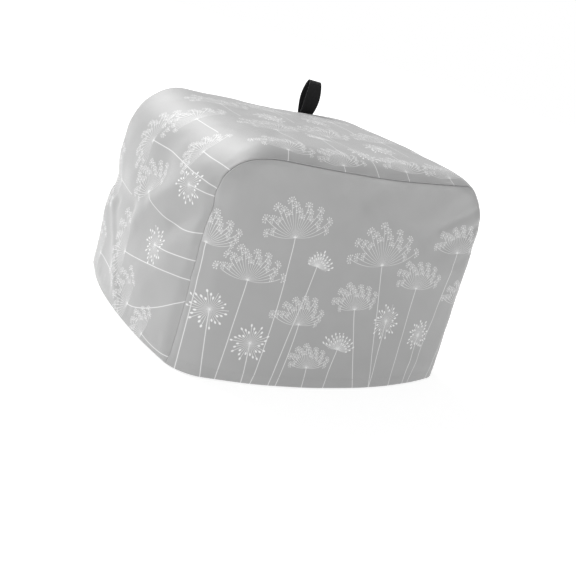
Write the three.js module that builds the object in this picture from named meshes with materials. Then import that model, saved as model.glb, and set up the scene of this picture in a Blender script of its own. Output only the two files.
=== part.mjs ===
// A fitted cloth cover for a two-slice toaster, in the shape in which it hangs over one.
// A front and a back panel are sewn to one long band, which runs up the left end, over the
// top and down the right end. A ribbon loop stands in the back top seam to lift it off by.
// The cover is open underneath and has a turned hem all round the opening.
// Millimetres. +X runs along the length, -Y is the front and +Z is up. The origin is under
// the middle of the top, where the cloth bears on what it covers.
import * as THREE from "three";

// Overall sizes, to the outside of the cloth
const LENGTH = 304; // end to end, above the belly of the hem
const TOP_DEPTH = 220; // front to back, just under the top
const DROP = 200; // underside of the top down to the hem
const TOP_RISE = 5; // the right end of the top sits this much higher than the left
const RISE_FROM = 0.45; // the rise starts at this part of the top's length
const LEFT_CORNER = 52; // radius of the band where the left end turns into the top
const RIGHT_CORNER = 55;

// Cloth, hem and seams
const CLOTH = 1.5;
const HEM_TURN = 10; // height of the turned hem
const HEM_CLOTH = 2.3; // its thickness, with the turning inside
const HEM_STEP = 1; // height over which the thickness changes
const SEAM_GAP = 0.36; // between two pieces, measured on the outside

// Rounding of the long edges, where a panel meets the band
const TOP_EDGE = 13;
const SIDE_EDGE = 16;
const HEM_EDGE = 19;
const HEM_EDGE_HEIGHT = 60; // the rounding widens over this height above the hem
const PANEL_MARGIN = 8; // flat strip of a panel beside its rounded edge

// How each wall hangs below the top: how far it leans out at the hem's corners, how far it
// bellies out beyond that at the middle of the hem, and how soon the belly starts
const HANG = {
  front: { lean: 12, belly: 26, start: 1.3 },
  back: { lean: -7, belly: 12, start: 1.3 },
  left: { lean: 0, belly: 14.5, start: 0.5 },
  right: { lean: 0, belly: 9, start: 0.8 },
};
const LEAN_START = 1.2;
const BELLY_FULLNESS = 2.2; // 2 is a plain arc along the hem, and more is fuller
const BELLY_REACH = { x: 140, y: 100 }; // a belly is whole this far out from the middle

// The crest of the top, and how far the swelling spreads from it
const TOP_CROWN = 4.4;
const CROWN_AT = 16;
const CROWN_SPAN = { x: 134, y: 107, below: 70, over: 60 };

// Where the seams lie on the rounded edge: 0 degrees is the band's side of the rounding and
// 90 degrees is the panel's. The place runs 0 to 1 up the left side, 1 to 2 round the corner,
// 2 to 3 along the top, 3 to 4 round the right corner and 4 to 5 down the right side. The
// crease is the turn between band and panel at the seam, where the band rolls over to it.
const FRONT_SEAM = [
  { place: 0, angle: 6, crease: 0 },
  { place: 1, angle: 11, crease: 0 },
  { place: 1.2, angle: 20.5, crease: 3 },
  { place: 1.35, angle: 28, crease: 7 },
  { place: 1.5, angle: 40, crease: 13 },
  { place: 1.7, angle: 60, crease: 23 },
  { place: 1.85, angle: 71.5, crease: 28 },
  { place: 2, angle: 77, crease: 31 },
  { place: 2.25, angle: 77.5, crease: 32 },
  { place: 2.5, angle: 75, crease: 32 },
  { place: 2.75, angle: 74.5, crease: 31 },
  { place: 2.9, angle: 71, crease: 29 },
  { place: 3, angle: 65.5, crease: 26 },
  { place: 3.1, angle: 58, crease: 22 },
  { place: 3.2, angle: 47, crease: 17 },
  { place: 3.35, angle: 32, crease: 11 },
  { place: 3.55, angle: 25, crease: 7 },
  { place: 4, angle: 28, crease: 3 },
  { place: 5, angle: 38, crease: 0 },
];
const BACK_SEAM = [
  { place: 0, angle: 45, crease: 0 },
  { place: 5, angle: 40, crease: 0 },
];

// The walls that soft folds lie on: the way out of each, and its two directions
const WALLS = {
  left: { out: [-1, 0, 0], across: [0, 1, 0], up: [0, 0, 1], near: 118 },
  right: { out: [1, 0, 0], across: [0, 1, 0], up: [0, 0, 1], near: 118 },
  front: { out: [0, -1, 0], across: [1, 0, 0], up: [0, 0, 1], near: 76 },
  back: { out: [0, 1, 0], across: [1, 0, 0], up: [0, 0, 1], near: 76 },
  top: { out: [0, 0, 1], across: [1, 0, 0], up: [0, 1, 0], near: -22 },
};
const WALL_FADE = 24; // a fold fades out over this much behind its wall

// Soft troughs and ridges, as lines on a wall. Each runs from one point to the other, in the
// wall's across and up directions. The reach is how wide it spreads and the swell how far it
// stands out, or sinks in where it is negative.
const FOLDS = [
  { wall: "left", from: [102, -96], to: [20, -105], reach: 9, swell: -2.4 },
  { wall: "left", from: [92, -74], to: [16, -85], reach: 12, swell: 1.8 },
  { wall: "left", from: [-10, -32], to: [-16, -48], reach: 18, swell: -3 },
  { wall: "left", from: [-74, -34], to: [6, -108], reach: 13, swell: 2.6 },
  { wall: "left", from: [-82, -66], to: [-46, -104], reach: 12, swell: -2.8 },
  { wall: "left", from: [-70, -128], to: [10, -160], reach: 20, swell: 1.6 },
  { wall: "left", from: [98, -136], to: [92, -182], reach: 26, swell: 4 },
  { wall: "front", from: [112, -4], to: [58, -40], reach: 7, swell: 1.6 },
  { wall: "front", from: [124, -14], to: [74, -54], reach: 9, swell: -2.2 },
  { wall: "front", from: [8, -16], to: [-4, -30], reach: 8, swell: -1.2 },
  { wall: "front", from: [-90, -196], to: [-60, -120], reach: 20, swell: 1.2 },
  { wall: "top", from: [-70, 20], to: [20, -50], reach: 22, swell: -1.8 },
  { wall: "back", from: [-118, -14], to: [-60, -62], reach: 11, swell: -2.4 },
  { wall: "back", from: [40, -190], to: [66, -96], reach: 22, swell: 2 },
  { wall: "right", from: [-78, -26], to: [20, -92], reach: 13, swell: -2.6 },
  { wall: "right", from: [70, -40], to: [10, -120], reach: 14, swell: 2 },
];

// The ribbon loop. Its table gives the width and the turn about Z at three heights.
const LOOP_AT = 50; // along the top
const LOOP_HEIGHT = 39;
const LOOP_CLOTH = 1.2;
const LOOP_EYE = 14; // widest gap between the two sides
const EYE_FULLNESS = 0.65; // share of that gap which makes it come out true
const LOOP_ENDS = 0.95; // from the middle to each side where they go into the seam
const LOOP_SHAPE = [
  { rise: 0, width: 16, turn: 0 },
  { rise: 0.5, width: 17.5, turn: -10 },
  { rise: 1, width: 13.5, turn: -16 },
];
const LOOP_TURN = Math.PI * 0.96; // from the top of the loop round to each end
const LOOP_SETTLE = 12; // how quickly the ribbon leaves the slope of the cloth at its foot
const LOOP_STEPS = { along: 26, across: 4 };
const SHORT_WAY = 0.001; // part of the ribbon over which its direction is taken

// How finely the surfaces are divided
const STEPS = { side: 11, corner: 8, top: 16, seamStrip: 3, band: 12 };
const HEM_ROWS = 2; // rows that the top of the turned hem adds to each end

const HALF_LENGTH = LENGTH / 2;
const HALF_DEPTH = TOP_DEPTH / 2;
const HEM_Z = -DROP;
const TOP_Z = CLOTH; // outside of the top at its left end
const QUARTER_TURN = Math.PI / 2;
const LAST_PLACE = 5;

const cloth = new THREE.MeshStandardMaterial({ color: 0xa9a9a9, roughness: 0.62, metalness: 0 });
const ribbon = new THREE.MeshStandardMaterial({ color: 0x131313, roughness: 0.5, metalness: 0 });

function clamp(value) {
  return Math.min(Math.max(value, 0), 1);
}

// Rises from 0 to 1 with no corner at either end
function ease(value) {
  const part = clamp(value);
  return part * part * (3 - 2 * part);
}

// 1 in the middle and 0 at both ends, full and without a corner where it ends
function swelling(across) {
  return (1 - clamp(Math.abs(across)) ** 3) ** 1.5;
}

// Reads a column of a table, along a smooth curve through its rows
function readTable(rows, key, column, at) {
  const last = rows.length - 1;
  const next = rows.findIndex((row, index) => index > 0 && at <= row[key]);
  const first = next < 0 ? last - 1 : next - 1;
  const slopeAt = (index) => {
    const before = rows[Math.max(index - 1, 0)];
    const after = rows[Math.min(index + 1, last)];
    return (after[column] - before[column]) / (after[key] - before[key]);
  };
  const span = rows[first + 1][key] - rows[first][key];
  const rise = rows[first + 1][column] - rows[first][column];
  const part = clamp((at - rows[first][key]) / span);
  const bendIn = (slopeAt(first) * span - rise) * (1 - part);
  const bendOut = (slopeAt(first + 1) * span - rise) * part;
  return rows[first][column] + part * (rise + (1 - part) * (bendIn - bendOut));
}

function heightOfTop(x) {
  const part = (x + HALF_LENGTH - LEFT_CORNER) / (LENGTH - LEFT_CORNER - RIGHT_CORNER);
  return TOP_Z + TOP_RISE * ease((part - RISE_FROM) / (1 - RISE_FROM));
}

// One point of the band's outline seen from the front, with its outward direction
function outlineAt(place) {
  const leftTop = TOP_Z - LEFT_CORNER;
  const rightTop = TOP_Z + TOP_RISE - RIGHT_CORNER;
  if (place < 1) {
    return { x: -HALF_LENGTH, z: HEM_Z + (leftTop - HEM_Z) * place, outX: -1, outZ: 0 };
  }
  if (place < 2) {
    const turn = (place - 1) * QUARTER_TURN;
    const outX = -Math.cos(turn);
    const outZ = Math.sin(turn);
    const x = -HALF_LENGTH + LEFT_CORNER + LEFT_CORNER * outX;
    return { x, z: leftTop + LEFT_CORNER * outZ, outX, outZ };
  }
  if (place <= 3) {
    const run = LENGTH - LEFT_CORNER - RIGHT_CORNER;
    const x = -HALF_LENGTH + LEFT_CORNER + (place - 2) * run;
    return { x, z: heightOfTop(x), outX: 0, outZ: 1 };
  }
  if (place < 4) {
    const turn = (4 - place) * QUARTER_TURN;
    const outX = Math.cos(turn);
    const outZ = Math.sin(turn);
    const x = HALF_LENGTH - RIGHT_CORNER + RIGHT_CORNER * outX;
    return { x, z: rightTop + RIGHT_CORNER * outZ, outX, outZ };
  }
  return { x: HALF_LENGTH, z: rightTop + (HEM_Z - rightTop) * (place - 4), outX: 1, outZ: 0 };
}

// How far down a height is, from 0 at the top to 1 at the hem
function dropAt(z) {
  return clamp((TOP_Z - z) / (TOP_Z - HEM_Z));
}

// Distance of the front (side -1) or back (side 1) panel from the middle plane, before its belly
function depthAt(z, side) {
  const { lean } = side < 0 ? HANG.front : HANG.back;
  return HALF_DEPTH + lean * dropAt(z) ** LEAN_START;
}

function roundingAt(outline) {
  const low = ease(1 - (outline.z - HEM_Z) / HEM_EDGE_HEIGHT);
  const atSide = SIDE_EDGE - TOP_EDGE + (HEM_EDGE - SIDE_EDGE) * low;
  return TOP_EDGE + atSide * Math.abs(outline.outX);
}

function thicknessAt(z) {
  const aboveTurn = (z - HEM_Z - HEM_TURN) / HEM_STEP;
  return HEM_CLOTH + (CLOTH - HEM_CLOTH) * clamp(aboveTurn);
}

// Shortest way from a point on a wall to the line of a fold
function distanceToLine(point, from, to) {
  const run = [to[0] - from[0], to[1] - from[1]];
  const gone = [point[0] - from[0], point[1] - from[1]];
  const part = clamp((gone[0] * run[0] + gone[1] * run[1]) / (run[0] ** 2 + run[1] ** 2));
  return Math.hypot(gone[0] - part * run[0], gone[1] - part * run[1]);
}

// How far a wall bellies out at a place across it, from 0 at its middle to 1 at its edges
function bellyOf(wall, across, z) {
  return wall.belly * (1 - clamp(across) ** BELLY_FULLNESS) * dropAt(z) ** wall.start;
}

// How far the top swells up at a point
function crownAt(point) {
  const along = (point.x - CROWN_AT) / CROWN_SPAN.x;
  const acrossTop = clamp(1 - (point.y / CROWN_SPAN.y) ** 2);
  const high = ease((point.z + CROWN_SPAN.below) / CROWN_SPAN.over);
  return TOP_CROWN * swelling(along) * acrossTop * high;
}

// Lets the plain form hang: its walls belly out, its top swells and it takes its soft folds
function hang(point) {
  const { x, y, z } = point;
  const hung = point.clone();
  const end = x < 0 ? HANG.left : HANG.right;
  const face = y < 0 ? HANG.front : HANG.back;
  const acrossEnd = Math.abs(y) / depthAt(z, Math.sign(y));
  const outX = bellyOf(end, acrossEnd, z) * ease(Math.abs(x) / BELLY_REACH.x);
  const outY = bellyOf(face, Math.abs(x) / HALF_LENGTH, z) * ease(Math.abs(y) / BELLY_REACH.y);
  hung.x += Math.sign(x) * outX;
  hung.y += Math.sign(y) * outY;
  hung.z += crownAt(point);
  const overHem = clamp((point.z - HEM_Z) / HEM_TURN);
  for (const fold of FOLDS) {
    const wall = WALLS[fold.wall];
    const out = new THREE.Vector3(...wall.out);
    const across = new THREE.Vector3(...wall.across);
    const up = new THREE.Vector3(...wall.up);
    const spot = [point.dot(across), point.dot(up)];
    const onWall = ease((point.dot(out) - wall.near) / WALL_FADE);
    const away = distanceToLine(spot, fold.from, fold.to) / fold.reach;
    hung.addScaledVector(out, fold.swell * Math.exp(-away * away) * onWall * overHem);
  }
  return hung;
}

// The way out of the rounded edge between band and panel, at an angle round it
function wayOut(outline, side, angle) {
  const out = Math.cos(angle);
  return new THREE.Vector3(outline.outX * out, side * Math.sin(angle), outline.outZ * out);
}

// A point of that rounded edge
function edgePoint(outline, side, angle, inset) {
  const round = roundingAt(outline);
  const centreZ = outline.z - outline.outZ * round;
  const y = side * (depthAt(centreZ, side) - round);
  const centre = new THREE.Vector3(outline.x - outline.outX * round, y, centreZ);
  return centre.addScaledVector(wayOut(outline, side, angle), round - inset);
}

// How the band rolls over to its seam: an arc that starts further back than the plain rounding
// and ends at the seam, turned less than the panel by the crease
function rollAt(table, place, outline) {
  const round = roundingAt(outline);
  const seam = THREE.MathUtils.degToRad(readTable(table, "place", "angle", place));
  const crease = THREE.MathUtils.degToRad(readTable(table, "place", "crease", place));
  const end = seam - crease;
  const radius = (round * (1 - Math.cos(seam))) / (1 - Math.cos(end));
  const back = radius * Math.sin(end) - round * Math.sin(seam);
  return { round, radius, back, end: end - SEAM_GAP / 2 / radius, crease };
}

// A point of the band's rolled edge, at an angle round it
function rollPoint(outline, side, roll, angle, inset) {
  const point = edgePoint(outline, side, 0, 0);
  point.y -= side * roll.back;
  const centre = point.addScaledVector(wayOut(outline, side, 0), -roll.radius);
  return centre.addScaledVector(wayOut(outline, side, angle), roll.radius - inset);
}

// The inner corner of a piece at its seam, cut halfway between band and panel
function mitred(point, outline, side, angle, crease, inset) {
  const deep = inset / Math.cos(crease / 2);
  return point.addScaledVector(wayOut(outline, side, angle), -deep);
}

// A point of a panel beside its seam, from 0 at the seam to 1 where its flat middle starts
function seamStripPoint(outline, side, seamAngle, part, inset) {
  const round = roundingAt(outline);
  const onEdge = round * (QUARTER_TURN - seamAngle);
  const gone = part * (onEdge + PANEL_MARGIN);
  if (gone < onEdge) return edgePoint(outline, side, seamAngle + gone / round, inset);
  const inwards = round + gone - onEdge;
  const x = outline.x - outline.outX * inwards;
  const z = outline.z - outline.outZ * inwards;
  return new THREE.Vector3(x, side * (depthAt(z, side) - inset), z);
}

// The places along the outline where the surfaces are divided, with a row at each hem fold
function stationPlaces() {
  const sideRun = [TOP_Z - LEFT_CORNER - HEM_Z, TOP_Z + TOP_RISE - RIGHT_CORNER - HEM_Z];
  const turned = (run) => [0, HEM_TURN / run, (HEM_TURN + HEM_STEP) / run];
  const rows = (run) => {
    const low = turned(run);
    const above = low[2];
    const step = (1 - above) / STEPS.side;
    const free = Array.from({ length: STEPS.side }, (_, i) => above + step * (i + 1));
    return [...low, ...free];
  };
  const steps = (count, from) => Array.from({ length: count }, (_, i) => from + (i + 1) / count);
  const left = rows(sideRun[0]);
  const right = rows(sideRun[1]).map((part) => LAST_PLACE - part);
  const leftCorner = steps(STEPS.corner, 1);
  const top = steps(STEPS.top, 2);
  const rightCorner = steps(STEPS.corner, 3);
  return [...left, ...leftCorner, ...top, ...rightCorner, ...right.reverse().slice(1)];
}

// Closes a sheet given by its outer and inner points and its outer faces, each of four corners
function sheetSolid(outer, inner, faces) {
  const count = outer.length;
  const index = [];
  const edges = new Map();
  for (const [a, b, c, d] of faces) {
    index.push(a, b, c, a, c, d);
    index.push(count + a, count + c, count + b, count + a, count + d, count + c);
    for (const [from, to] of [[a, b], [b, c], [c, d], [d, a]]) {
      edges.set(`${from} ${to}`, [from, to]);
    }
  }
  for (const [from, to] of edges.values()) {
    if (edges.has(`${to} ${from}`)) continue;
    index.push(from, count + from, count + to, from, count + to, to);
  }
  const geometry = new THREE.BufferGeometry();
  const numbers = [...outer, ...inner].flatMap((point) => point.toArray());
  geometry.setAttribute("position", new THREE.Float32BufferAttribute(numbers, 3));
  geometry.setIndex(index);
  return geometry;
}

// Faces of a grid of points, row after row; turned over where the piece faces the other way
function gridFaces(rows, columns, turnedOver, indexOf) {
  const faces = [];
  for (let row = 0; row < rows - 1; row += 1) {
    for (let column = 0; column < columns - 1; column += 1) {
      const corners = [
        indexOf(row, column),
        indexOf(row, column + 1),
        indexOf(row + 1, column + 1),
        indexOf(row + 1, column),
      ];
      faces.push(turnedOver ? corners.reverse() : corners);
    }
  }
  return faces;
}

function named(name, geometry, material) {
  const mesh = new THREE.Mesh(geometry, material);
  mesh.name = name;
  return mesh;
}

// One edge of the band, from where its flat width ends to its seam
function bandEdge(table, side, place, outline, inset) {
  const roll = rollAt(table, place, outline);
  const points = [];
  for (let i = 0; i < STEPS.seamStrip; i += 1) {
    points.push(rollPoint(outline, side, roll, (roll.end * i) / STEPS.seamStrip, inset));
  }
  const atSeam = rollPoint(outline, side, roll, roll.end, 0);
  const between = roll.end + roll.crease / 2;
  points.push(mitred(atSeam, outline, side, between, roll.crease, inset));
  return points;
}

// The band: its rolled front edge, its flat width and its back edge
function makeBand(places) {
  const pointsAt = (inner) =>
    places.flatMap((place) => {
      const outline = outlineAt(place);
      const inset = inner ? thicknessAt(outline.z) : 0;
      const front = bandEdge(FRONT_SEAM, -1, place, outline, inset);
      const back = bandEdge(BACK_SEAM, 1, place, outline, inset);
      const flat = [];
      for (let i = 1; i < STEPS.band; i += 1) {
        flat.push(front[0].clone().lerp(back[0], i / STEPS.band));
      }
      return [...front.reverse(), ...flat, ...back].map(hang);
    });
  const columns = 2 * STEPS.seamStrip + STEPS.band + 1;
  const faces = gridFaces(places.length, columns, true, (row, column) => row * columns + column);
  return named("gusset", sheetSolid(pointsAt(false), pointsAt(true), faces), cloth);
}

// A panel: a strip beside its seam, then a flat middle whose rows join the strip's two sides
function makePanel(name, side, table, places) {
  const climb = STEPS.side + HEM_ROWS + STEPS.corner;
  const last = places.length - 1;
  const strips = STEPS.seamStrip;
  const pointsAt = (inner) => {
    const strip = [];
    for (let ring = 0; ring <= strips; ring += 1) {
      for (const place of places) {
        const outline = outlineAt(place);
        const inset = inner ? thicknessAt(outline.z) : 0;
        const crease = THREE.MathUtils.degToRad(readTable(table, "place", "crease", place));
        const angle = THREE.MathUtils.degToRad(readTable(table, "place", "angle", place));
        const seam = angle + SEAM_GAP / 2 / roundingAt(outline);
        if (ring === 0) {
          const atSeam = edgePoint(outline, side, seam, 0);
          strip.push(mitred(atSeam, outline, side, seam - crease / 2, crease, inset));
        } else {
          strip.push(seamStripPoint(outline, side, seam, ring / strips, inset));
        }
      }
    }
    const edge = strip.slice(strips * places.length);
    const middle = [];
    for (let row = 0; row < climb; row += 1) {
      for (let column = 1; column < STEPS.top; column += 1) {
        const part = column / STEPS.top;
        const point = edge[row].clone().lerp(edge[last - row], part);
        const level = edge[climb].clone().lerp(edge[last - climb], part);
        const overTop = edge[climb + column].clone().sub(level);
        point.addScaledVector(overTop, row / climb);
        const inset = inner ? thicknessAt(point.z) : 0;
        point.y = side * (depthAt(point.z, side) - inset);
        middle.push(point);
      }
    }
    return [...strip, ...middle].map(hang);
  };
  const ring = places.length;
  const stripFaces = gridFaces(strips + 1, ring, side < 0, (row, column) => row * ring + column);
  const middleStart = (strips + 1) * ring;
  const middleIndex = (row, column) => {
    if (row === climb) return strips * ring + climb + column;
    if (column === 0) return strips * ring + row;
    if (column === STEPS.top) return strips * ring + last - row;
    return middleStart + row * (STEPS.top - 1) + column - 1;
  };
  const middleFaces = gridFaces(climb + 1, STEPS.top + 1, side > 0, middleIndex);
  const faces = [...stripFaces, ...middleFaces];
  return named(name, sheetSolid(pointsAt(false), pointsAt(true), faces), cloth);
}

// Height of the outside of the cloth beside the back top seam
function clothHeight(x, y) {
  const centreZ = heightOfTop(x) - TOP_EDGE;
  const centreY = depthAt(centreZ, 1) - TOP_EDGE;
  const over = Math.min(Math.max(y - centreY, 0), TOP_EDGE);
  return hang(new THREE.Vector3(x, y, centreZ + Math.sqrt(TOP_EDGE ** 2 - over ** 2))).z;
}

// The loop: a ribbon that goes up, over and down again, open like an eye between its sides
function makeLoop() {
  const place = 2 + (LOOP_AT + HALF_LENGTH - LEFT_CORNER) / (LENGTH - LEFT_CORNER - RIGHT_CORNER);
  const seam = THREE.MathUtils.degToRad(readTable(BACK_SEAM, "place", "angle", place));
  const seamY = HALF_DEPTH - TOP_EDGE + TOP_EDGE * Math.sin(seam);
  const foot = new THREE.Vector3(LOOP_AT, seamY, clothHeight(LOOP_AT, seamY) + SEAM_GAP);
  const middleLine = (part) => {
    const round = (2 * part - 1) * LOOP_TURN;
    const bulge = LOOP_EYE * EYE_FULLNESS * Math.sin(round) * Math.cos(round / 2);
    const out = bulge + LOOP_ENDS * Math.sin(round / 2);
    const rise = (Math.cos(round) - Math.cos(LOOP_TURN)) / (1 - Math.cos(LOOP_TURN));
    return { out, rise };
  };
  const pointsAt = (offset) => {
    const points = [];
    for (let i = 0; i <= LOOP_STEPS.along; i += 1) {
      const part = i / LOOP_STEPS.along;
      const here = middleLine(part);
      const before = middleLine(part - SHORT_WAY);
      const after = middleLine(part + SHORT_WAY);
      const run = [after.out - before.out, (after.rise - before.rise) * LOOP_HEIGHT];
      const long = Math.hypot(...run);
      const out = here.out - (offset * run[1]) / long;
      const rise = here.rise * LOOP_HEIGHT + (offset * run[0]) / long;
      const width = readTable(LOOP_SHAPE, "rise", "width", here.rise);
      const turn = THREE.MathUtils.degToRad(readTable(LOOP_SHAPE, "rise", "turn", here.rise));
      for (let j = 0; j <= LOOP_STEPS.across; j += 1) {
        const across = width * (j / LOOP_STEPS.across - 0.5);
        const x = foot.x + across * Math.cos(turn) - out * Math.sin(turn);
        const y = foot.y + across * Math.sin(turn) + out * Math.cos(turn);
        const settled = (clothHeight(x, y) + SEAM_GAP - foot.z) * (1 - here.rise) ** LOOP_SETTLE;
        points.push(new THREE.Vector3(x, y, foot.z + rise + settled));
      }
    }
    return points;
  };
  const columns = LOOP_STEPS.across + 1;
  const rows = LOOP_STEPS.along + 1;
  const faces = gridFaces(rows, columns, false, (row, column) => row * columns + column);
  const half = LOOP_CLOTH / 2;
  return named("loop", sheetSolid(pointsAt(half), pointsAt(-half), faces), ribbon);
}

const places = stationPlaces();
const group = new THREE.Group();
group.add(makeBand(places));
group.add(makePanel("front_panel", -1, FRONT_SEAM, places));
group.add(makePanel("back_panel", 1, BACK_SEAM, places));
group.add(makeLoop());

export default group;
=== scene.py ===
"""A fitted cloth cover for a two-slice toaster: a front and a back panel sewn to one long band,
and a ribbon loop caught in the back top seam. Its looks: thin printed cloth with turned seams,
a turned and stitched hem, soft folds and a white print of flower heads on long stems."""
from math import cos, exp, hypot, pi, radians, sin, sqrt

import bmesh
import bpy
from mathutils import Matrix, Vector, noise
from mathutils.bvhtree import BVHTree


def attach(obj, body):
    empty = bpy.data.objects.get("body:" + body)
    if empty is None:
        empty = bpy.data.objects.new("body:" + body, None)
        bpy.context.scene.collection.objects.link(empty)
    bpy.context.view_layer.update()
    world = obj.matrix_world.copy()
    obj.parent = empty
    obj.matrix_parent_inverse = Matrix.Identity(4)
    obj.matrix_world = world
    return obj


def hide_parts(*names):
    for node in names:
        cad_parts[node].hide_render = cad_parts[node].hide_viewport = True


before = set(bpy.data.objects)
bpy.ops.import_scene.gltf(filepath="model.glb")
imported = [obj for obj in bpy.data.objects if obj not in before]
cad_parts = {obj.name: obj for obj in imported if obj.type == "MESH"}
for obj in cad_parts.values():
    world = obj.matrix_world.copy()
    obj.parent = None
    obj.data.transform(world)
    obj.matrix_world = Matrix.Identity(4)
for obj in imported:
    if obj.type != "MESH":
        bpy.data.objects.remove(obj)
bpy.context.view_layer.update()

MM = 0.001

# The shape, in millimetres

# Overall sizes, to the outside of the cloth
LENGTH = 304
TOP_DEPTH = 220
DROP = 200
TOP_RISE = 5
RISE_FROM = 0.45  # where the top starts to rise, as a part of its length
LEFT_CORNER = 52
RIGHT_CORNER = 55
HALF_LENGTH = LENGTH / 2
HALF_DEPTH = TOP_DEPTH / 2
HEM_Z = -DROP
TOP_Z = 1.5  # the top's outside; its inside is at zero

# Cloth, seams and hem
CLOTH = 0.7
SEAM_GAP = 0.36
SEAM_FOLD = 0.8  # radius of the fold where the cloth turns in to a seam
SEAM_ALLOWANCE = 7
HEM_FOLD = 1.0  # radius of the fold at the lower edge
HEM_TURN = 10
STITCH_LINE = 8.5  # height of the stitching above the lower edge

# Rounding of the long edges, where a panel meets the band
TOP_EDGE = 13
SIDE_EDGE = 16
HEM_EDGE = 19
HEM_EDGE_HEIGHT = 60
PANEL_MARGIN = 8

# How each wall hangs: lean at the hem, belly at the middle of the hem, start of the belly
HANG = {
    "front": dict(lean=12, belly=26, start=1.3),
    "back": dict(lean=-7, belly=12, start=1.3),
    "left": dict(lean=0, belly=14.5, start=0.5),
    "right": dict(lean=0, belly=9, start=0.8),
}
LEAN_START = 1.2  # how late on its way down a wall leans out
BELLY_FULLNESS = 2.2  # how full the belly is towards its ends
BELLY_REACH = dict(x=140, y=100)  # how far out the belly is there in full

# How the top swells: how high, where along it, and over what span
TOP_CROWN = 4.4
CROWN_AT = 16
CROWN_SPAN = dict(x=134, y=107, below=70, over=60)

# Where the seams lie on the rounded edge: place, degrees from the band's side of it, and the
# crease between band and panel, in degrees
FRONT_SEAM = [
    (0, 6, 0),
    (1, 11, 0),
    (1.2, 20.5, 3),
    (1.35, 28, 7),
    (1.5, 40, 13),
    (1.7, 60, 23),
    (1.85, 71.5, 28),
    (2, 77, 31),
    (2.25, 77.5, 32),
    (2.5, 75, 32),
    (2.75, 74.5, 31),
    (2.9, 71, 29),
    (3, 65.5, 26),
    (3.1, 58, 22),
    (3.2, 47, 17),
    (3.35, 32, 11),
    (3.55, 25, 7),
    (4, 28, 3),
    (5, 38, 0),
]
BACK_SEAM = [(0, 45, 0), (5, 40, 0)]

# The walls that folds lie on: the way out, the two directions along the wall, and how far out the
# wall begins; a fold fades in from there
WALLS = {
    "left": ((-1, 0, 0), (0, 1, 0), (0, 0, 1), 118),
    "right": ((1, 0, 0), (0, 1, 0), (0, 0, 1), 118),
    "front": ((0, -1, 0), (1, 0, 0), (0, 0, 1), 76),
    "back": ((0, 1, 0), (1, 0, 0), (0, 0, 1), 76),
    "top": ((0, 0, 1), (1, 0, 0), (0, 1, 0), -22),
}
WALL_FADE = 24

# Soft troughs and ridges: wall, from, to, reach, swell
FOLDS = [
    ("left", (102, -96), (20, -105), 9, -2.4),
    ("left", (92, -74), (16, -85), 12, 1.8),
    ("left", (-10, -32), (-16, -48), 18, -3),
    ("left", (-74, -34), (6, -108), 13, 2.6),
    ("left", (-82, -66), (-46, -104), 12, -1.6),
    ("left", (-70, -128), (10, -160), 20, 1.6),
    ("left", (98, -136), (92, -182), 26, 4),
    ("front", (112, -4), (58, -40), 7, 0.5),
    ("front", (124, -14), (74, -54), 9, -1),
    ("front", (8, -16), (-4, -30), 8, -1.2),
    ("front", (-90, -196), (-60, -120), 20, 1.2),
    ("top", (-70, 20), (20, -50), 22, -1.8),
    ("back", (-118, -14), (-60, -62), 11, -2.4),
    ("back", (40, -190), (66, -96), 22, 2),
    ("right", (-78, -26), (20, -92), 13, -2.6),
    ("right", (70, -40), (10, -120), 14, 2),
]

# Finer creases, in the same words
CREASES = [
    ("left", (-99, -40), (-105, -200), 4.8, -2.3),
    ("right", (-99, -40), (-105, -200), 4.8, -1.4),
    ("left", (106, -104), (60, -114), 4.5, -1.3),
    ("left", (72, -120), (2, -184), 7, 1.5),
    ("left", (60, -126), (-12, -186), 6, -0.8),
    ("left", (-104, -56), (-56, -92), 9, -2.2),
    ("left", (-60, -52), (-16, -84), 7, 0.9),
    ("left", (-104, -92), (-72, -100), 4, 0.5),
    ("left", (-104, -118), (-60, -130), 5, 0.6),
    ("front", (142, -36), (108, -60), 4.5, -1.6),
    ("front", (134, -22), (92, -44), 4.5, -1.3),
    ("front", (146, -60), (122, -78), 4, -0.6),
    ("front", (134, -18), (104, -62), 12, -1.5),
    ("front", (-20, -8), (-34, -26), 5, -0.5),
    ("front", (132, -188), (96, -176), 6, 0.8),
    ("back", (120, -40), (84, -70), 5, -1),
    ("back", (-130, -92), (-96, -112), 5, 0.8),
    ("right", (-60, -80), (-20, -128), 6, 1),
    ("top", (-92, -70), (-60, -30), 7, -0.8),
    ("top", (112, -82), (86, -40), 6, 0.7),
]

# How finely the cloth is divided: its cells, the heights of the rows inside the hem, the insets of
# the columns inside a seam, and those beside its fold
CELL = 2.6
STRIP_CELLS = 9
HEM_INSIDE = (HEM_TURN + 0.5, 7.5, 4.5, 2.4)
HEM_FOLD_STEPS = 5
FIRST_ROW = 2.4
SEAM_INSIDE = (SEAM_ALLOWANCE, 4.2, 2.0, SEAM_FOLD)
SEAM_FOLD_STEPS = 3
SEAM_OUTSIDE = (1.7, 2.9)
MERGE = 0.01  # points that lie closer are one

# Small unevenness of hanging cloth: the size of its waves, their height, and what sets them apart
WAVES = dict(size=34, height=0.9, shift=(0, 0, 0))
RIPPLES = dict(size=15, height=0.28, shift=(7, 3, 1))
PUCKERS = dict(size=6.5, height=0.7, shift=(0, 0, 4))
GATHERS = dict(size=7, height=0.6, shift=(0, 0, 9))
PUCKER_REACH = 5  # how far the puckers reach from a seam
GATHER_BAND = dict(above=3, reach=5)  # where the gathers lie above the turned hem
SEAM_CALM = 4  # over what way from a seam the unevenness sets in
HEM_CALM = dict(height=14, share=0.25)  # how much of it is left at the hem, and below what height


def clamp(value, low=0.0, high=1.0):
    return min(max(value, low), high)


def ease(value):
    part = clamp(value)
    return part * part * (3 - 2 * part)


def swelling(across):
    return (1 - clamp(abs(across)) ** 3) ** 1.5


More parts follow.
